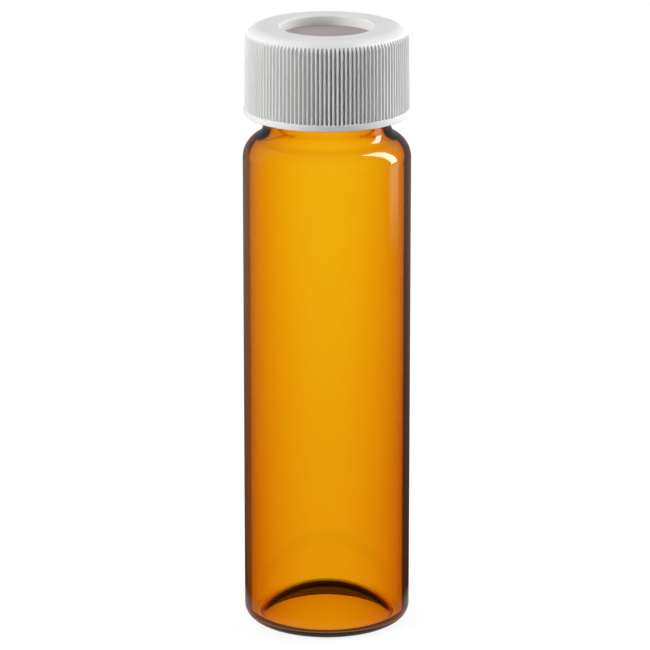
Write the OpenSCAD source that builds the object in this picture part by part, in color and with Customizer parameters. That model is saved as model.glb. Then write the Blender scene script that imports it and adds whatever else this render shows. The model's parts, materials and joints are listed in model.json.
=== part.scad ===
// Amber glass sample vial with an open-top screw cap over a pierceable septum.
// The axis of the vial is Z, and it stands on its base at z = 0.

/* [Glass body] */
// Outside diameter of the glass tube
body_d = 27.2; // [25:0.1:30]
// Height of the glass, from the surface it stands on to the lip
vial_h = 95; // [60:0.5:140]
// Thickness of the tube wall
wall_t = 1.1; // [0.8:0.05:1.6]
// Thickness of the floor at its centre
floor_t = 1.35; // [1:0.05:2.2]
// Rounding between the wall and the base
heel_r = 2.1; // [1.4:0.1:3]
// Rounding of the moat inside, between the wall and the domed floor
inner_heel_r = 1.05; // [0.8:0.05:2]
// Thickness of the glass under the moat
moat_t = 1.15; // [0.9:0.05:1.6]
// Width of the flat ring that the vial stands on
foot_w = 0.85; // [0.5:0.05:3]
// Rounding inside the foot, where the base turns up into its dome
valley_r = 1.2; // [0.6:0.1:2.5]
// Rise of the pushed-up base at its centre
push_up = 3.8; // [2.4:0.1:4.6]
// Rounding of the shoulder
shoulder_r = 4; // [3:0.1:5]
// Rounding where the shoulder runs up into the neck
throat_r = 2.2; // [0.6:0.1:3]

/* [Neck] */
// Step from the wall of the body in to the wall of the neck
shoulder_step = 3.3; // [2.8:0.1:3.8]
// Length of the neck, from the top of the shoulder to the lip
neck_h = 12.8; // [11.6:0.1:18]
// Thickness of the neck's wall
neck_t = 1.5; // [1.4:0.1:3]
// Rounding inside, where the shoulder runs up into the mouth
inner_throat_r = 3.5; // [2:0.1:5]
// Rounding of the lip, inside and outside
lip_r = 0.6; // [0.2:0.05:0.7]

/* [Thread] */
// Rise of the right-hand thread in one turn
pitch = 3.175; // [3:0.025:3.5]
// Length of the thread in turns
thread_turns = 1.25; // [1:0.05:1.5]
// Height of a thread ridge above its wall
ridge_h = 1.3; // [0.9:0.05:1.5]
// Width of a thread ridge where it leaves its wall
ridge_foot = 2; // [1.6:0.05:2.1]
// Width of a thread ridge at its crest
ridge_crest = 0.7; // [0.4:0.05:0.9]
// Distance from the lip down to the upper end of the thread
thread_drop = 1.2; // [0.8:0.1:1.8]
// Gap between a ridge's crest and the wall that it runs along
crest_gap = 0.3; // [0.15:0.05:0.5]
// Gap between the ridges' flanks while the cap is tight
flank_gap = 0.2; // [0.1:0.05:0.3]

/* [Septum] */
// Lap of the septum disc over the outside of the neck
septum_lap = 0.7; // [0.2:0.1:1.2]
// Thickness of the septum disc
septum_t = 3.175; // [2:0.025:4]
// Gap between the septum's edge and its well in the cap
septum_gap = 0.2; // [0.1:0.05:0.4]

/* [Cap] */
// Height of the cap
cap_h = 14.3; // [12.8:0.1:15.5]
// Thickness of the top panel
panel_t = 1.6; // [1.2:0.05:2.4]
// Diameter of the hole in the top panel
port_d = 15.1; // [8:0.1:17]
// Rounding of the hole's rim
port_lip_r = 0.25; // [0.1:0.05:0.5]
// Thickness of the skirt behind its grip ribs
skirt_t = 0.77; // [0.6:0.01:1.6]
// Overlap of the septum well's wall below the lip
well_drop = 0.4; // [0.2:0.05:0.6]
// Width of the rounded top edge
edge_w = 2.6; // [1.8:0.1:3.2]
// Height of the rounded top edge
edge_h = 1.55; // [1:0.05:1.8]
// Widening of the skirt on each side, from the top edge to the bottom band
draft = 0.12; // [0:0.02:0.3]
// Height of the plain band at the bottom
band_h = 1.1; // [0.6:0.1:2]
// Step of the plain band out from the ribs
band_step = 0.1; // [0.04:0.02:0.2]
// Bevel inside the bottom rim
rim_bevel = 0.4; // [0.1:0.05:0.6]

/* [Grip ribs] */
// Number of ribs round the cap
rib_count = 120; // [60:1:144]
// Depth of the grooves between the ribs, at the top of the skirt
groove_depth = 0.5; // [0.2:0.02:0.56]
// Share of the pitch that a groove takes at its floor
groove_floor_share = 0.35; // [0.15:0.05:0.4]
// Share of the pitch that a groove takes at the ribs' tips
groove_mouth_share = 0.65; // [0.45:0.05:0.75]

/* [Hidden] */

$fn = 96;

// Glass
body_r = body_d / 2;
bore_r = body_r - wall_t;
neck_r = body_r - shoulder_step;
mouth_r = neck_r - neck_t;
crown_z = vial_h - neck_h;
shoulder_z = crown_z - shoulder_r;
shoulder_axis_r = body_r - shoulder_r;
inner_shoulder_r = shoulder_r - wall_t;
foot_in_r = body_r - heel_r - foot_w;

// The throat's arc touches the neck and the shoulder's arc
throat_axis_r = neck_r + throat_r;
throat_reach = shoulder_r + throat_r;
throat_rise = sqrt(pow(throat_reach, 2) - pow(throat_axis_r - shoulder_axis_r, 2));
throat_z = shoulder_z + throat_rise;
throat_touch = [shoulder_axis_r, shoulder_z]
    + [throat_axis_r - shoulder_axis_r, throat_rise] * shoulder_r / throat_reach;

// The inner throat's arc touches the mouth and the inner shoulder's arc
inner_throat_axis_r = mouth_r + inner_throat_r;
inner_throat_reach = inner_shoulder_r + inner_throat_r;
inner_throat_rise = sqrt(pow(inner_throat_reach, 2) - pow(inner_throat_axis_r - shoulder_axis_r, 2));
inner_throat_z = shoulder_z + inner_throat_rise;
inner_throat_touch = [shoulder_axis_r, shoulder_z]
    + [inner_throat_axis_r - shoulder_axis_r, inner_throat_rise] * inner_shoulder_r / inner_throat_reach;

// Radius of the arc that rises by rise over a run of half_w
function arc_radius(half_w, rise) = (pow(half_w, 2) + pow(rise, 2)) / (2 * rise);

// The base's dome touches the rounding inside the foot, and the floor's dome that of the moat
dome_r = arc_radius(foot_in_r, push_up) - valley_r;
dome_z = push_up - dome_r;
floor_top = push_up + floor_t;
moat_axis_r = bore_r - inner_heel_r;
moat_axis_z = moat_t + inner_heel_r;
floor_dome_r = arc_radius(moat_axis_r, floor_top - moat_t) - inner_heel_r;
floor_dome_z = floor_top - floor_dome_r;

// Thread
ridge_root = 0.5;
ridge_facets = 36;
ridge_fade = 0.12;
ridge_bury = 0.15;
knee_share = 0.85;
crest_rounding = 0.5;
ridge_rise = pitch * thread_turns;
neck_thread_z = vial_h - thread_drop - ridge_foot / 2 - ridge_rise;
cap_thread_r = neck_r + ridge_h + crest_gap;
flank_slope = (ridge_foot - ridge_crest) / 2 / ridge_h;
flank_reach = ridge_foot - flank_slope * (cap_thread_r - neck_r) + flank_gap;
cap_thread_z = neck_thread_z - flank_reach;

// Cap
septum_z = vial_h;
panel_z = septum_z + septum_t;
cap_top = panel_z + panel_t;
cap_z = cap_top - cap_h;
septum_r = neck_r + septum_lap;
well_r = septum_r + septum_gap;
groove_floor_r = max(cap_thread_r, well_r) + skirt_t;
skirt_top_r = groove_floor_r + groove_depth;
skirt_low_r = skirt_top_r + draft;
band_r = skirt_low_r + band_step;
band_z = cap_z + band_h;
edge_z = cap_top - edge_h;
edge_in_r = skirt_top_r - edge_w;
edge_arc_r = arc_radius(edge_w, edge_h);
rib_pitch = 360 / rib_count;
groove_out_r = band_r + 0.2;
cut = 1;

// Full solid form of the glass, from the axis outwards
module glass_outside() {
    square([body_r - heel_r, heel_r]);
    translate([body_r - heel_r, heel_r]) circle(heel_r);
    translate([0, heel_r]) square([body_r, shoulder_z - heel_r]);
    translate([shoulder_axis_r, shoulder_z]) circle(shoulder_r);
    translate([0, shoulder_z]) square([shoulder_axis_r, shoulder_r]);
    difference() {
        polygon([
            [0, throat_touch[1]], throat_touch,
            [throat_axis_r, throat_z], [0, throat_z]
        ]);
        translate([throat_axis_r, throat_z]) circle(throat_r);
    }
    translate([0, throat_z]) square([neck_r, vial_h - lip_r - throat_z]);
    translate([neck_r - lip_r, vial_h - lip_r]) circle(lip_r);
    translate([0, vial_h - lip_r]) square([neck_r - lip_r, lip_r]);
}

// Hollow of the glass: domed floor with its moat, chamber, shoulder, throat and mouth
module glass_inside() {
    difference() {
        polygon([
            [0, floor_dome_z], [moat_axis_r, moat_axis_z], [bore_r, moat_axis_z],
            [bore_r, shoulder_z], [0, shoulder_z]
        ]);
        translate([0, floor_dome_z]) circle(floor_dome_r);
    }
    translate([moat_axis_r, moat_axis_z]) circle(inner_heel_r);
    translate([shoulder_axis_r, shoulder_z]) circle(inner_shoulder_r);
    difference() {
        polygon([
            [0, shoulder_z], [shoulder_axis_r, shoulder_z], inner_throat_touch,
            [inner_throat_axis_r, inner_throat_z], [0, inner_throat_z]
        ]);
        translate([inner_throat_axis_r, inner_throat_z]) circle(inner_throat_r);
    }
    translate([0, inner_throat_z]) square([mouth_r, vial_h + cut - inner_throat_z]);
    difference() {
        translate([0, vial_h - lip_r]) square([mouth_r + lip_r, lip_r + cut]);
        translate([mouth_r + lip_r, vial_h - lip_r]) circle(lip_r);
    }
}

// Hollow under the pushed-up base: its dome and the rounding that runs out into the foot
module base_hollow() {
    translate([0, dome_z]) circle(dome_r);
    difference() {
        polygon([[0, dome_z], [foot_in_r, valley_r], [foot_in_r, dome_z]]);
        translate([foot_in_r, valley_r]) circle(valley_r);
    }
}

// Half of the glass wall, cut through the axis
module glass_section() {
    intersection() {
        difference() {
            glass_outside();
            glass_inside();
            base_hollow();
        }
        square([body_r, vial_h]);
    }
}

// Corners of a ridge's cross-section at one place along it: its buried foot, knees and crest.
// A positive side stands the ridge out of a shaft, and a negative side into a hole.
function ridge_section(wall_r, side, grow) =
    let (
        root_r = wall_r - side * ridge_root,
        crest_r = wall_r + side * (ridge_h * grow - ridge_bury * (1 - grow)),
        knee_r = root_r + (crest_r - root_r) * knee_share,
        foot_half = ridge_foot / 2 + flank_slope * ridge_root,
        knee_half = foot_half + (ridge_crest / 2 - foot_half) * knee_share,
        crest_half = ridge_crest / 2 * crest_rounding
    )
    [
        [root_r, -foot_half], [knee_r, -knee_half], [crest_r, -crest_half],
        [crest_r, crest_half], [knee_r, knee_half], [root_r, foot_half]
    ];

// Right-hand thread ridge on a round wall, fading into the wall at both ends
module thread_ridge(wall_r, side) {
    steps = ceil(thread_turns * ridge_facets);
    corners = len(ridge_section(wall_r, side, 1));
    points = [
        for (i = [0 : steps])
        let (
            along = i / steps,
            turn = 360 * thread_turns * along,
            near_end = min(along, 1 - along) / ridge_fade,
            grow = sin(90 * min(1, near_end))
        )
        for (p = ridge_section(wall_r, side, grow))
        [p[0] * cos(turn), p[0] * sin(turn), p[1] + ridge_rise * along]
    ];
    sides = [
        for (i = [0 : steps - 1], k = [0 : corners - 1])
        let (
            a = i * corners + k,
            b = i * corners + (k + 1) % corners
        )
        each [[a, b, a + corners], [b, b + corners, a + corners]]
    ];
    ends = [
        [for (k = [corners - 1 : -1 : 0]) k],
        [for (k = [0 : corners - 1]) steps * corners + k]
    ];
    faces = concat(sides, ends);
    polyhedron(points, side > 0 ? faces : [for (f = faces) [for (k = [len(f) - 1 : -1 : 0]) f[k]]]);
}

// Amber tube, closed and pushed up at the base, with a rolled shoulder and threaded neck
module glass_vial() {
    color("darkgoldenrod") union() {
        rotate_extrude() glass_section();
        translate([0, 0, neck_thread_z]) thread_ridge(neck_r, 1);
    }
}

// Die-cut rubber disc that lies on the lip
module septum() {
    color("lightgray") translate([0, 0, septum_z]) cylinder(h = septum_t, r = septum_r);
}

// Full solid form of the cap, from the axis outwards
module cap_outside() {
    polygon([
        [0, cap_z], [band_r, cap_z], [band_r, band_z], [skirt_low_r, band_z],
        [skirt_top_r, edge_z], [0, edge_z]
    ]);
    translate([0, edge_z]) square([edge_in_r, edge_h]);
    intersection() {
        translate([edge_in_r, cap_top - edge_arc_r]) circle(edge_arc_r);
        translate([edge_in_r, edge_z]) square([edge_w, edge_h]);
    }
}

// Hollow of the cap: bevelled rim, thread wall, septum well and the hole in the panel
module cap_inside() {
    well_z = septum_z - well_drop;
    polygon([
        [0, cap_z - cut], [cap_thread_r + rim_bevel + cut, cap_z - cut],
        [cap_thread_r, cap_z + rim_bevel], [cap_thread_r, well_z], [well_r, well_z],
        [well_r, panel_z], [0, panel_z]
    ]);
    square([port_d / 2, cap_top + cut]);
    difference() {
        translate([0, cap_top - port_lip_r])
            square([port_d / 2 + port_lip_r, port_lip_r + cut]);
        translate([port_d / 2 + port_lip_r, cap_top - port_lip_r]) circle(port_lip_r);
    }
}

// Outlines of the grooves between the ribs, seen from above
module groove_outlines() {
    spread = (groove_mouth_share - groove_floor_share) / groove_depth;
    floor_w = 2 * PI * groove_floor_r / rib_count * groove_floor_share;
    out_share = groove_floor_share + spread * (groove_out_r - groove_floor_r);
    out_w = 2 * PI * groove_out_r / rib_count * min(0.95, out_share);
    for (i = [0 : rib_count - 1])
        rotate(i * rib_pitch) polygon([
            [groove_floor_r, -floor_w / 2], [groove_out_r, -out_w / 2],
            [groove_out_r, out_w / 2], [groove_floor_r, floor_w / 2]
        ]);
}

// Moulded open-top cap with fine grip ribs outside and a thread inside
module screw_cap() {
    color("white") union() {
        difference() {
            rotate_extrude() difference() {
                cap_outside();
                cap_inside();
            }
            translate([0, 0, band_z]) linear_extrude(cap_h) groove_outlines();
        }
        translate([0, 0, cap_thread_z]) thread_ridge(cap_thread_r, -1);
    }
}

glass_vial();
septum();
screw_cap();
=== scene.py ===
import json
import math

import bmesh
import bpy
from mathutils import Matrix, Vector


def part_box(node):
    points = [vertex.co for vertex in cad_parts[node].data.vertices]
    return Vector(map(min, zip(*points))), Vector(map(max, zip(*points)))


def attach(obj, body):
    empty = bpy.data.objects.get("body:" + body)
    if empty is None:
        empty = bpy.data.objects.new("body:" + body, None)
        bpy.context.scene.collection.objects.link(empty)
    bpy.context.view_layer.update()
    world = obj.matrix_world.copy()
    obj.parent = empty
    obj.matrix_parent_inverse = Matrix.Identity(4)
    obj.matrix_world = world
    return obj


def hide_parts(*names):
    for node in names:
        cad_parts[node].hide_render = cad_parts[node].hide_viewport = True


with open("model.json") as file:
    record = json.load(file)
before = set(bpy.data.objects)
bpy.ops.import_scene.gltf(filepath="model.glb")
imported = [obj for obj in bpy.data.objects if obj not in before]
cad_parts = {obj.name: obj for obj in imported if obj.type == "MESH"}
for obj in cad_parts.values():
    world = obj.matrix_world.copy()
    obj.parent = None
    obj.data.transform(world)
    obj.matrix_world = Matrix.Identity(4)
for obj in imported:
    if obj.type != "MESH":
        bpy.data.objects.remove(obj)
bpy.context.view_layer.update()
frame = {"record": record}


# The glass vial is one length of amber tubing glass. Its base is closed and pushed up in a flame,
# its shoulder and lip are rolled in, and a right-hand thread is pressed out of the neck.

MM = 0.001
glass_low, glass_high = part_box("glass_vial")
body_r = glass_high.x
lip_z = glass_high.z
wall_t = 1.1 * MM
floor_t = 1.35 * MM
heel_r = 2.1 * MM
inner_heel_r = 1.05 * MM
moat_t = 1.15 * MM
foot_w = 0.85 * MM
push_up = 3.8 * MM
valley_r = 1.2 * MM
shoulder_r = 4 * MM
throat_r = 2.2 * MM
inner_throat_r = 3.5 * MM
neck_inset = 3.3 * MM
neck_t = 1.5 * MM
neck_h = 12.8 * MM
lip_r = 0.6 * MM
thread_pitch = 3.175 * MM
thread_turns = 1.25
thread_drop = 1.2 * MM
ridge_h = 1.3 * MM
ridge_foot = 2 * MM
ridge_crest = 0.7 * MM
ridge_fade = 0.14
glass_columns = 256

bore_r = body_r - wall_t
neck_r = body_r - neck_inset
mouth_r = neck_r - neck_t
shoulder_axis = body_r - shoulder_r
shoulder_z = lip_z - neck_h - shoulder_r
neck_thread_z = lip_z - thread_drop - ridge_foot / 2 - thread_pitch * thread_turns


def arc(centre, radius, start, end, steps):
    """Points of an arc in the plane of radius and height, between two angles in degrees."""
    angles = [math.radians(start + (end - start) * i / steps) for i in range(steps + 1)]
    return [(centre[0] + radius * math.cos(a), centre[1] + radius * math.sin(a)) for a in angles]


def straight(start, end, steps=1, hem=0.15 * MM):
    """Points between two corners, with one close to each corner to hold the bend there."""
    length = math.dist(start, end)
    shares = [hem / length]
    shares += [i / steps for i in range(1, steps)]
    shares += [1 - hem / length]
    return [tuple(a + (b - a) * s for a, b in zip(start, end)) for s in shares]


def glass_outside():
    """Section of the outside, from the middle of the pushed-up base round the heel to the lip."""
    valley_axis = body_r - heel_r - foot_w
    dome_reach = (valley_axis**2 + push_up**2) / (2 * push_up)
    dome_r = dome_reach - valley_r
    dome_tilt = math.degrees(math.asin(valley_axis / dome_reach))
    throat_axis = neck_r + throat_r
    throat_reach = shoulder_r + throat_r
    throat_tilt = math.degrees(math.acos((throat_axis - shoulder_axis) / throat_reach))
    throat_z = shoulder_z + throat_reach * math.sin(math.radians(throat_tilt))
    points = arc((0, push_up - dome_r), dome_r, 90, 90 - dome_tilt, steps=24)
    points += arc((valley_axis, valley_r), valley_r, 270 - dome_tilt, 270, steps=12)[1:]
    points += straight((valley_axis, 0), (body_r - heel_r, 0))
    points += arc((body_r - heel_r, heel_r), heel_r, -90, 0, steps=20)
    points += straight((body_r, heel_r), (body_r, shoulder_z), steps=6)
    points += arc((shoulder_axis, shoulder_z), shoulder_r, 0, throat_tilt, steps=18)
    points += arc((throat_axis, throat_z), throat_r, 180 + throat_tilt, 180, steps=10)[1:]
    points += straight((neck_r, throat_z), (neck_r, lip_z - lip_r), steps=64)
    points += arc((neck_r - lip_r, lip_z - lip_r), lip_r, 0, 90, steps=8)
    return points


def glass_inside():
    """Section of the inside, from the lip down the neck and the bore to the middle of the floor."""
    inner_shoulder_r = shoulder_r - wall_t
    throat_axis = mouth_r + inner_throat_r
    throat_reach = inner_shoulder_r + inner_throat_r
    throat_tilt = math.degrees(math.acos((throat_axis - shoulder_axis) / throat_reach))
    throat_z = shoulder_z + throat_reach * math.sin(math.radians(throat_tilt))
    heel_axis = bore_r - inner_heel_r
    heel_z = moat_t + inner_heel_r
    rise = push_up + floor_t - moat_t
    dome_reach = (heel_axis**2 + rise**2) / (2 * rise)
    dome_r = dome_reach - inner_heel_r
    dome_z = push_up + floor_t - dome_r
    dome_tilt = math.degrees(math.asin(heel_axis / dome_reach))
    points = arc((mouth_r + lip_r, lip_z - lip_r), lip_r, 90, 180, steps=8)
    points += straight((mouth_r, lip_z - lip_r), (mouth_r, throat_z), steps=3)
    points += arc((throat_axis, throat_z), inner_throat_r, 180, 180 + throat_tilt, steps=14)
    points += arc((shoulder_axis, shoulder_z), inner_shoulder_r, throat_tilt, 0, steps=16)[1:]
    points += straight((bore_r, shoulder_z), (bore_r, heel_z), steps=6)
    points += arc((heel_axis, heel_z), inner_heel_r, 0, -90 - dome_tilt, steps=20)
    points += arc((0, dome_z), dome_r, 90 - dome_tilt, 90, steps=30)[1:]
    return points


def ring(bm, radius, height, columns):
    """Vertices of one turn of a spun piece, or one vertex where it closes on the axis."""
    axis_gap = 0.0001 * MM
    if radius < axis_gap:
        return [bm.verts.new((0, 0, height))]
    turns = [2 * math.pi * i / columns for i in range(columns)]
    return [bm.verts.new((radius * math.cos(a), radius * math.sin(a), height)) for a in turns]


def skin(bm, lower, upper):
    """Faces between two turns, where one may be a point or have a few times more columns."""
    columns = min(len(lower), len(upper))
    if columns == 1:
        columns = max(len(lower), len(upper))
    for i in range(columns):
        edge = []
        for turn, step in ((lower, 1), (upper, -1)):
            share = len(turn) // columns
            part = [turn[(i * share + k) % len(turn)] for k in range(share + 1)] if share else turn
            edge += part[::step]
        bm.faces.new(edge)


def placed(name, bm):
    """The piece that holds a built mesh, with its faces turned outwards."""
    bmesh.ops.recalc_face_normals(bm, faces=bm.faces)
    mesh = bpy.data.meshes.new(name)
    bm.to_mesh(mesh)
    bm.free()
    piece = bpy.data.objects.new(name, mesh)
    bpy.context.scene.collection.objects.link(piece)
    return piece


def spun(name, outline, columns):
    """A closed piece spun round the upright axis from its section."""
    bm = bmesh.new()
    turns = [ring(bm, r, z, columns) for r, z in outline]
    for lower, upper in zip(turns, turns[1:]):
        skin(bm, lower, upper)
    return placed(name, bm)


class Field:
    """A socket in a node tree. Arithmetic on fields adds Math nodes to the tree."""

    def __init__(self, tree, socket=None):
        self.tree = tree
        self.socket = socket

    def node(self, kind, settings=None, values=None, out=0):
        """Adds a node with its settings, then its sockets' values or links, and gives one output."""
        node = self.tree.nodes.new(kind)
        for name, value in (settings or {}).items():
            setattr(node, name, value)
        for key, value in (values or {}).items():
            if isinstance(value, Field):
                self.tree.links.new(value.socket, node.inputs[key])
            else:
                node.inputs[key].default_value = value
        return Field(self.tree, node.outputs[out] if len(node.outputs) else None)

    def other(self, out):
        """Another output of the same node."""
        return Field(self.tree, self.socket.node.outputs[out])

    def math(self, operation, *values):
        """A Math node on these values."""
        return self.node("ShaderNodeMath", {"operation": operation}, dict(enumerate(values)))

    def __add__(self, value):
        return self.math("ADD", self, value)

    def __radd__(self, value):
        return self.math("ADD", value, self)

    def __sub__(self, value):
        return self.math("SUBTRACT", self, value)

    def __rsub__(self, value):
        return self.math("SUBTRACT", value, self)

    def __mul__(self, value):
        return self.math("MULTIPLY", self, value)

    def __rmul__(self, value):
        return self.math("MULTIPLY", value, self)

    def __truediv__(self, value):
        return self.math("DIVIDE", self, value)

    def __rtruediv__(self, value):
        return self.math("DIVIDE", value, self)


def eased(value, low, high, floor=0, top=1):
    """A field brought smoothly from one range to another."""
    return value.node(
        "ShaderNodeMapRange",
        {"interpolation_type": "SMOOTHSTEP"},
        {"Value": value, "From Min": low, "From Max": high, "To Min": floor, "To Max": top},
    )


def shaper(name, sizes):
    """A node tree that moves a piece's surface, with its sizes as inputs by name."""
    tree = bpy.data.node_groups.new(name, "GeometryNodeTree")
    tree.interface.new_socket("Geometry", in_out="INPUT", socket_type="NodeSocketGeometry")
    for size in sizes:
        tree.interface.new_socket(size, in_out="INPUT", socket_type="NodeSocketFloat")
    tree.interface.new_socket("Material", in_out="INPUT", socket_type="NodeSocketMaterial")
    tree.interface.new_socket("Geometry", in_out="OUTPUT", socket_type="NodeSocketGeometry")
    return Field(tree).node("NodeGroupInput", out="Geometry")


def round_place(start):
    """Where a point of a round piece is: its radius, its share of a turn and its height."""
    place = start.node("GeometryNodeInputPosition")
    x = start.node("ShaderNodeSeparateXYZ", values={0: place}, out="X")
    y = x.other("Y")
    radius = start.math("SQRT", x * x + y * y)
    return radius, start.math("ARCTAN2", y, x) / (2 * math.pi), x.other("Z")


def outwards(start, step):
    """Ends a shaper: moves each point by step from the axis, and sets the material."""
    position = start.node("GeometryNodeInputPosition")
    level = (1, 1, 0)
    flat = start.node("ShaderNodeVectorMath", {"operation": "MULTIPLY"}, {0: position, 1: level})
    away = start.node("ShaderNodeVectorMath", {"operation": "NORMALIZE"}, {0: flat})
    offset = start.node("ShaderNodeVectorMath", {"operation": "SCALE"}, {0: away, "Scale": step})
    moved = start.node("GeometryNodeSetPosition", values={"Geometry": start, "Offset": offset})
    real = start.node("GeometryNodeRealizeInstances", values={"Geometry": moved})
    painted = start.node(
        "GeometryNodeSetMaterial", values={"Geometry": real, "Material": start.other("Material")}
    )
    start.node("NodeGroupOutput", values={"Geometry": painted})
    return start.tree


def thread_shaper():
    """Raises a helical ridge on a round wall, fading out at both of its ends."""
    start = shaper(
        "thread_ridge",
        ["Wall Radius", "Ridge Height", "Ridge Foot", "Ridge Crest", "Pitch", "Turns", "Start", "Fade"],
    )
    snug = 0.01 * MM
    radius, turned, z = round_place(start)
    off_wall = start.math("ABSOLUTE", radius - start.other("Wall Radius"))
    on_wall = start.math("LESS_THAN", off_wall, snug)
    share = start.math("FRACT", turned + 1)
    climb = (z - start.other("Start")) / start.other("Pitch")
    winding = start.math("MAXIMUM", start.math("ROUND", climb - share), 0)
    turn = share + winding
    aside = start.math("ABSOLUTE", (climb - turn) * start.other("Pitch"))
    along = turn / start.other("Turns")
    to_end = start.math("MINIMUM", along, 1 - along) / start.other("Fade")
    flank = eased(aside, start.other("Ridge Foot") / 2, start.other("Ridge Crest") / 2)
    return outwards(start, start.other("Ridge Height") * flank * eased(to_end, 0, 1) * on_wall)


def shape(piece, tree, material, sizes):
    """Gives a piece a shaper with these sizes, each set by its socket's identifier."""
    modifier = piece.modifiers.new(tree.name, "NODES")
    modifier.node_group = tree
    for socket in tree.interface.items_tree:
        if socket.in_out == "INPUT" and socket.name in sizes:
            modifier[socket.identifier] = sizes[socket.name]
        if socket.in_out == "INPUT" and socket.name == "Material":
            modifier[socket.identifier] = material


def settle(piece, sharp=None):
    """Makes what a piece's shapers give its plain smooth mesh, with edges past an angle kept sharp."""
    graph = bpy.context.evaluated_depsgraph_get()
    mesh = bpy.data.meshes.new_from_object(piece.evaluated_get(graph))
    piece.modifiers.clear()
    piece.data = mesh
    mesh.shade_smooth()
    if sharp:
        mesh.set_sharp_from_angle(angle=math.radians(sharp))


def finish(name):
    """An empty material, with the field that its nodes start from."""
    material = bpy.data.materials.new(name)
    material.use_nodes = True
    material.node_tree.nodes.clear()
    return material, Field(material.node_tree)


def between(share, low, high):
    """A colour between two colours, by a field's share of the second."""
    return share.node(
        "ShaderNodeMix", {"data_type": "RGBA"}, {"Factor": share, "A": low, "B": high}, out="Result"
    )


def mottled(place, per_m, detail):
    """Soft random spots, so many to the metre."""
    return place.node(
        "ShaderNodeTexNoise", values={"Vector": place, "Scale": per_m, "Detail": detail}
    )


def relief(height, strength, depth):
    """The bump that a field of heights gives a surface."""
    return height.node(
        "ShaderNodeBump", values={"Strength": strength, "Distance": depth, "Height": height}
    )


def amber_glass():
    """Amber glass that deepens with its depth and at its sides, with a painted shade that deepens it
    towards its base, and faint drawn lines.
    """
    taken_per_m = (10, 312, 2400)
    clear = (1, 1, 1, 1)
    deep_amber = (0.80, 0.42, 0.05, 1)
    side_blend = 0.5
    pale_above = 85 * MM
    base_shade_share = 0.24
    drawn_out = (1, 1, 0.02)
    lines_per_m = 420
    line_depth = 0.02 * MM
    line_strength = 0.12
    glass_ior = 1.51
    material, start = finish("amber_glass")
    place = start.node("ShaderNodeTexCoord", out="Object")
    height = start.node("ShaderNodeSeparateXYZ", values={0: place}, out="Z")
    # Painted shade: below pale_above the tint deepens towards the base, for the vial's own shadow on the
    # floor seen through its lower part.
    base_shade = eased(height, pale_above, 0, 0, base_shade_share)
    turned = start.node("ShaderNodeLayerWeight", values={"Blend": side_blend}, out="Facing")
    drawn = start.node("ShaderNodeMapping", values={"Vector": place, "Scale": drawn_out})
    lines = mottled(drawn, lines_per_m, detail=2)
    surface = start.node(
        "ShaderNodeBsdfPrincipled",
        values={
            "Base Color": between(turned + base_shade, clear, deep_amber),
            "Roughness": 0,
            "IOR": glass_ior,
            "Transmission Weight": 1,
            "Normal": relief(lines, line_strength, line_depth),
        },
    )
    most = max(taken_per_m)
    inside = start.node(
        "ShaderNodeVolumeAbsorption",
        values={"Color": (*(1 - taken / most for taken in taken_per_m), 1), "Density": most},
    )
    start.node("ShaderNodeOutputMaterial", values={"Surface": surface, "Volume": inside})
    return material


ridge_tree = thread_shaper()
glass = spun("glass_vial_clear", glass_outside() + glass_inside(), glass_columns)
shape(
    glass,
    ridge_tree,
    amber_glass(),
    {
        "Wall Radius": neck_r,
        "Ridge Height": ridge_h,
        "Ridge Foot": ridge_foot,
        "Ridge Crest": ridge_crest,
        "Pitch": thread_pitch,
        "Turns": thread_turns,
        "Start": neck_thread_z,
        "Fade": ridge_fade,
    },
)
settle(glass)
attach(glass, "vial")
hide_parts("glass_vial")


# The septum is a disc die-cut from a sheet of grey silicone rubber with a thin bonded facing.
# It lies on the lip of the glass, and the cap's panel clamps it there.

septum_low, septum_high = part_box("septum")
septum_r = septum_high.x
die_r = 0.12 * MM
septum_columns = 128
septum_sharp = 50


def septum_outline():
    """Section of the disc, with the slight rounding that a die leaves on its edges."""
    flat_r = septum_r - die_r
    points = [(0, septum_low.z)]
    points += straight((0, septum_low.z), (flat_r, septum_low.z), steps=4)
    points += arc((flat_r, septum_low.z + die_r), die_r, -90, 0, steps=4)
    points += straight((septum_r, septum_low.z + die_r), (septum_r, septum_high.z - die_r))
    points += arc((flat_r, septum_high.z - die_r), die_r, 0, 90, steps=4)
    points += straight((flat_r, septum_high.z), (0, septum_high.z), steps=4)
    points += [(0, septum_high.z)]
    return points


def plain_finish(start, tone, roughness, ior, bump):
    """Ends an opaque material with its colour, gloss and relief."""
    surface = start.node(
        "ShaderNodeBsdfPrincipled",
        values={"Base Color": tone, "Roughness": roughness, "IOR": ior, "Normal": bump},
    )
    start.node("ShaderNodeOutputMaterial", values={"Surface": surface})


def septum_rubber():
    """Matt grey rubber with a soft mottle and fine specks of filler."""
    dark_grey = (0.385, 0.34, 0.33, 1)
    light_grey = (0.45, 0.405, 0.395, 1)
    clouds_per_m = 350
    specks_per_m = 5200
    speck_depth = 0.02 * MM
    speck_strength = 0.2
    roughness_spread = 0.2
    smoothest = 0.5
    rubber_ior = 1.41
    material, start = finish("septum_rubber")
    place = start.node("ShaderNodeTexCoord", out="Object")
    specks = mottled(place, specks_per_m, detail=2)
    tone = between(mottled(place, clouds_per_m, detail=3), dark_grey, light_grey)
    bump = relief(specks, speck_strength, speck_depth)
    plain_finish(start, tone, smoothest + specks * roughness_spread, rubber_ior, bump)
    return material


septum = spun("septum_disc", septum_outline(), septum_columns)
septum.data.materials.append(septum_rubber())
settle(septum, septum_sharp)
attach(septum, "septum")
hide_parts("septum")


# The screw cap is moulded in one piece from white plastic, with a hole in its top panel.
# Fine grip ribs stand round its skirt above a plain band, and a thread inside takes the neck.

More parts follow.
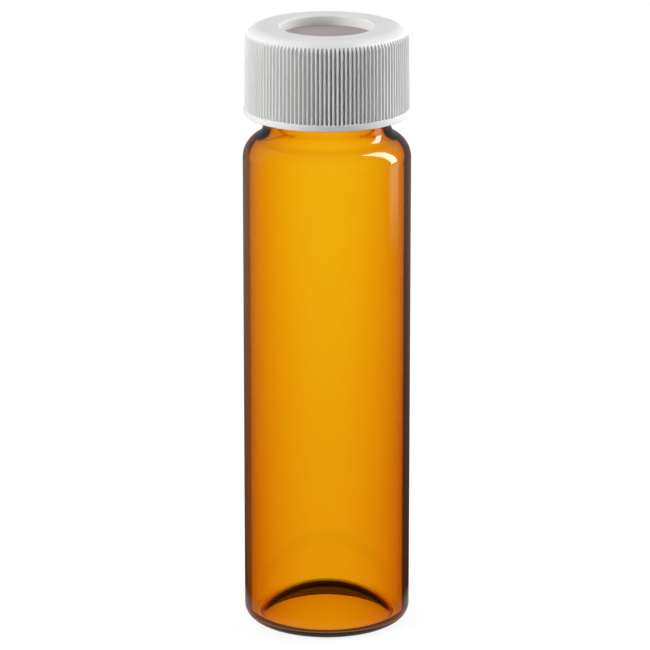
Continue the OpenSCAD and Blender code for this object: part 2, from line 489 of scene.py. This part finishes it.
cap_low, cap_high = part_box("screw_cap")
cap_z = cap_low.z
cap_top = cap_high.z
band_r = cap_high.x
needle_port = next(m for m in frame["record"]["mounts"] if m["name"] == "needle_port")
port_r = needle_port["dims"]["r_mm"] * MM
crest_gap = 0.3 * MM
flank_gap = 0.2 * MM
well_gap = 0.2 * MM
well_lap = 0.4 * MM
band_h = 1.1 * MM
band_step = 0.1 * MM
band_soft_r = 0.06 * MM
band_round_r = 0.2 * MM
draft = 0.12 * MM
edge_w = 2.6 * MM
edge_h = 1.55 * MM
port_lip_r = 0.25 * MM
port_hem = 4 * port_lip_r
rim_bevel = 0.4 * MM
groove_depth = 0.5 * MM
groove_floor_share = 0.3
groove_mouth_share = 0.72
rib_count = 120
columns_a_rib = 10
columns_inside = 240
cap_sharp = 40

skirt_r = band_r - band_step
skirt_top_r = skirt_r - draft
cap_thread_r = neck_r + ridge_h + crest_gap
flank_slope = (ridge_foot - ridge_crest) / 2 / ridge_h
flank_reach = ridge_foot - flank_slope * (cap_thread_r - neck_r) + flank_gap
well_r = septum_r + well_gap
well_z = lip_z - well_lap


def cap_outside():
    """Section of the outside from the panel to the rim, each point with its share of grip."""
    band_z = cap_z + band_h
    edge_r = (edge_w**2 + edge_h**2) / (2 * edge_h)
    edge_tilt = math.degrees(math.asin(edge_w / edge_r))
    edge = arc((skirt_top_r - edge_w, cap_top - edge_r), edge_r, 90, 90 - edge_tilt, steps=26)
    skirt = straight((skirt_top_r, cap_top - edge_h), (skirt_r, band_z), steps=4)
    skirt += [(skirt_r, band_z)]
    band = arc((band_r - band_soft_r, band_z - band_soft_r), band_soft_r, 90, 0, steps=4)
    band += arc((band_r - band_round_r, cap_z + band_round_r), band_round_r, 0, -90, steps=6)
    return [(p, 0) for p in edge[:1]] + [(p, 1) for p in edge[1:] + skirt] + [(p, 0) for p in band]


def cap_inside():
    """Section of the inside from the rim over the thread wall and septum well to the panel."""
    panel_z = septum_high.z
    points = [(cap_thread_r + rim_bevel, cap_z), (cap_thread_r, cap_z + rim_bevel)]
    points += straight(points[-1], (cap_thread_r, well_z), steps=40)
    points += [(cap_thread_r, well_z), (well_r, well_z)]
    points += [(well_r, panel_z), (port_r, panel_z)]
    points += straight((port_r, panel_z), (port_r, cap_top - port_lip_r))
    points += arc((port_r + port_lip_r, cap_top - port_lip_r), port_lip_r, 180, 90, steps=6)
    points += [(port_r + port_hem, cap_top)]
    return points


def cap_blank(name):
    """The cap as one closed skin, with many more columns outside, where its ribs are cut."""
    bm = bmesh.new()
    grip = bm.verts.layers.float.new("grip")
    turns = []
    for (r, z), share in cap_outside():
        turns.append(ring(bm, r, z, rib_count * columns_a_rib))
        for vert in turns[-1]:
            vert[grip] = share
    turns += [ring(bm, r, z, columns_inside) for r, z in cap_inside()]
    for lower, upper in zip(turns, turns[1:] + turns[:1]):
        skin(bm, lower, upper)
    return placed(name, bm)


def rib_shaper():
    """Cuts upright grooves into a round skirt where its points have grip, and leaves ribs between."""
    start = shaper("grip_ribs", ["Rib Count", "Floor Radius", "Floor Share", "Mouth Share"])
    radius, turned, _ = round_place(start)
    grip = start.node("GeometryNodeInputNamedAttribute", {"data_type": "FLOAT"}, {"Name": "grip"})
    half = 0.5
    pitches = turned * start.other("Rib Count") + half
    from_middle = start.math("FRACT", pitches + start.other("Rib Count")) - half
    aside = start.math("ABSOLUTE", from_middle) * 2
    groove = eased(aside, start.other("Mouth Share"), start.other("Floor Share"))
    depth = start.math("MAXIMUM", radius - start.other("Floor Radius"), 0)
    return outwards(start, depth * groove * grip * -1)


def white_plastic():
    """Satin white moulded plastic with a fine eroded texture."""
    low_white = (0.80, 0.80, 0.795, 1)
    high_white = (0.85, 0.85, 0.845, 1)
    clouds_per_m = 160
    grains_per_m = 9000
    grain_depth = 0.01 * MM
    grain_strength = 0.15
    roughness_spread = 0.12
    smoothest = 0.38
    plastic_ior = 1.49
    material, start = finish("white_plastic")
    place = start.node("ShaderNodeTexCoord", out="Object")
    cloud = mottled(place, clouds_per_m, detail=3)
    tone = between(cloud, low_white, high_white)
    bump = relief(mottled(place, grains_per_m, detail=2), grain_strength, grain_depth)
    plain_finish(start, tone, smoothest + cloud * roughness_spread, plastic_ior, bump)
    return material


cap_finish = white_plastic()
cap = cap_blank("screw_cap_ribbed")
shape(
    cap,
    ridge_tree,
    cap_finish,
    {
        "Wall Radius": cap_thread_r,
        "Ridge Height": -ridge_h,
        "Ridge Foot": ridge_foot,
        "Ridge Crest": ridge_crest,
        "Pitch": thread_pitch,
        "Turns": thread_turns,
        "Start": neck_thread_z - flank_reach,
        "Fade": ridge_fade,
    },
)
shape(
    cap,
    rib_shaper(),
    cap_finish,
    {
        "Rib Count": rib_count,
        "Floor Radius": skirt_top_r - groove_depth,
        "Floor Share": groove_floor_share,
        "Mouth Share": groove_mouth_share,
    },
)
settle(cap, cap_sharp)
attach(cap, "cap")
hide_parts("screw_cap")


# The studio is a pale floor under soft light from both sides and above, on a white ground.
# Rays that cross the whole vial see that ground, and rays that only skim its wall see the dark sides.

floor_half = 3.0
dark_side = 0.08


def ground(start):
    """What a ray is: seen, past both walls, past one wall or the foot, mirrored, or none of these.

    A ray past both walls has gone through three to five faces of the glass.
    """
    under_three, over_five = 2.5, 5.5
    seen = start.node("ShaderNodeLightPath", out="Is Camera Ray")
    through = seen.other("Is Transmission Ray")
    faces = seen.other("Transmission Depth")
    three_or_more = start.math("GREATER_THAN", faces, under_three)
    both = three_or_more - start.math("GREATER_THAN", faces, over_five)
    mirrored = seen.other("Is Glossy Ray") * (1 - through)
    return seen, through * both, through * (1 - both), mirrored, 1 - seen - through - mirrored


def mirrored_room(y):
    """How bright the glass mirrors the room: dark in front of the vial and paler behind it."""
    front, back = -0.05, 0.3
    front_tone, back_tone = 0.006, 0.22
    return eased(y, front, back, front_tone, back_tone)


def painted_glow_strip(start, x, y):
    """A strip of floor on the right painted to glow for mirrored rays only, which the glass shows as a
    painted reflection: a pale stripe.
    """
    turn = math.radians(103)
    half_spread = 0.17
    dark_until, lit_from = 0.23, 0.31
    along = x * math.sin(turn) - y * math.cos(turn)
    across = (y * math.sin(turn) + x * math.cos(turn)) / along
    within = start.math("LESS_THAN", start.math("ABSOLUTE", across), half_spread)
    return within * eased(along, dark_until, lit_from)


def floor_paint():
    """Pale floor that shows white with the vial's soft shadow, and painted glows that only the glass
    mirrors.
    """
    white = 0.86
    shadow_tone = 0.2
    bounce_tone = 0.2
    foot_glow, foot_far, foot_near = 0.4, 24 * MM, 15.5 * MM
    left_side, left_from, left_to = 0.24, -12 * MM, -24 * MM
    material, start = finish("floor_paint")
    seen, whole, skimmed, mirrored, rest = ground(start)
    place = start.node("ShaderNodeTexCoord", out="Object")
    x = start.node("ShaderNodeSeparateXYZ", values={0: place}, out="X")
    y = x.other("Y")
    reach = start.math("SQRT", x * x + y * y)
    # Painted glow round the foot, seen only by mirrored rays, which gives the heel a painted reflection.
    near = eased(reach, foot_far, foot_near, 0, foot_glow)
    sides = eased(x, left_from, left_to, dark_side, left_side)
    shown = seen * white + whole + skimmed * sides
    shown = shown + mirrored * (mirrored_room(y) + painted_glow_strip(start, x, y) + near)
    glow = start.node("ShaderNodeEmission", values={"Color": shown})
    matt_tone = seen * shadow_tone + rest * bounce_tone
    matt = start.node("ShaderNodeBsdfDiffuse", values={"Color": matt_tone})
    surface = start.node("ShaderNodeAddShader", values={0: glow, 1: matt})
    start.node("ShaderNodeOutputMaterial", values={"Surface": surface})
    return material


corners = ((-1, -1), (1, -1), (1, 1), (-1, 1))
floor_mesh = bpy.data.meshes.new("floor")
floor_mesh.from_pydata(
    [(x * floor_half, y * floor_half, glass_low.z) for x, y in corners], [], [(0, 1, 2, 3)]
)
floor = bpy.data.objects.new("floor", floor_mesh)
floor.data.materials.append(floor_paint())
bpy.context.scene.collection.objects.link(floor)


def studio_world():
    """White ground behind the vial, dark overhead where glass looks up, with a soft fill from behind."""
    dark_above, white_below = 0.16, 0.05
    overhead_tone = 0.03
    fill_front, fill_back = -0.6, 0.6
    fill_front_tone, fill_back_tone = 0.016, 0.4
    world = bpy.data.worlds.new("studio")
    world.use_nodes = True
    world.node_tree.nodes.clear()
    start = Field(world.node_tree)
    seen, whole, skimmed, mirrored, rest = ground(start)
    heading = start.node("ShaderNodeTexCoord", out="Generated")
    rise = start.node("ShaderNodeSeparateXYZ", values={0: heading}, out="Z")
    y = rise.other("Y")
    low = eased(rise, dark_above, white_below, overhead_tone, 1)
    fill = eased(y, fill_front, fill_back, fill_front_tone, fill_back_tone)
    shown = seen + (whole + skimmed * dark_side) * low + mirrored * mirrored_room(y) + rest * fill
    sky = start.node("ShaderNodeBackground", values={"Color": shown})
    start.node("ShaderNodeOutputWorld", values={"Surface": sky})
    return world


def softbox(name, azimuth, distance, height, width, tall, watts, mirrored):
    """A soft lamp that faces the vial, at an azimuth in degrees from the front, to the right."""
    lit_height = 60 * MM
    turn = math.radians(azimuth)
    lamp = bpy.data.lights.new(name, "AREA")
    lamp.shape = "RECTANGLE"
    lamp.size = width
    lamp.size_y = tall
    lamp.energy = watts
    box = bpy.data.objects.new(name, lamp)
    box.location = (distance * math.sin(turn), -distance * math.cos(turn), height)
    aim = Vector((0, 0, lit_height)) - box.location
    box.rotation_euler = aim.to_track_quat("-Z", "Y").to_euler()
    box.visible_camera = False
    box.visible_transmission = False
    box.visible_diffuse = not mirrored
    box.visible_glossy = mirrored
    bpy.context.scene.collection.objects.link(box)


bpy.context.scene.world = studio_world()
softbox(
    "right_softbox",
    azimuth=103, distance=0.24, height=0.24, width=0.08, tall=0.36, watts=1.0, mirrored=True,
)
softbox(
    "right_fill",
    azimuth=94, distance=0.60, height=0.11, width=0.50, tall=0.50, watts=6.8, mirrored=False,
)
softbox(
    "left_softbox",
    azimuth=-65, distance=0.60, height=0.22, width=0.60, tall=0.60, watts=5.3, mirrored=False,
)
softbox(
    "top_softbox",
    azimuth=-165, distance=0.22, height=0.75, width=0.50, tall=0.50, watts=1.75, mirrored=False,
)

camera_target = Vector((0, 0, 48.91 * MM))
camera_distance = 702.6 * MM
camera_rise = math.radians(16.54)
camera_shift = Vector((-0.31 * MM, 0, 0.95 * MM))
shot = bpy.data.cameras.new("camera")
shot.sensor_width = 36
shot.lens = 238.4
view = bpy.data.objects.new("camera", shot)
back_and_up = Vector((0, -math.cos(camera_rise), math.sin(camera_rise)))
view.location = camera_target + camera_distance * back_and_up
aim = camera_target + camera_shift - view.location
view.rotation_euler = aim.to_track_quat("-Z", "Y").to_euler()
bpy.context.scene.collection.objects.link(view)
bpy.context.scene.camera = view
bpy.context.scene.view_settings.view_transform = "Standard"
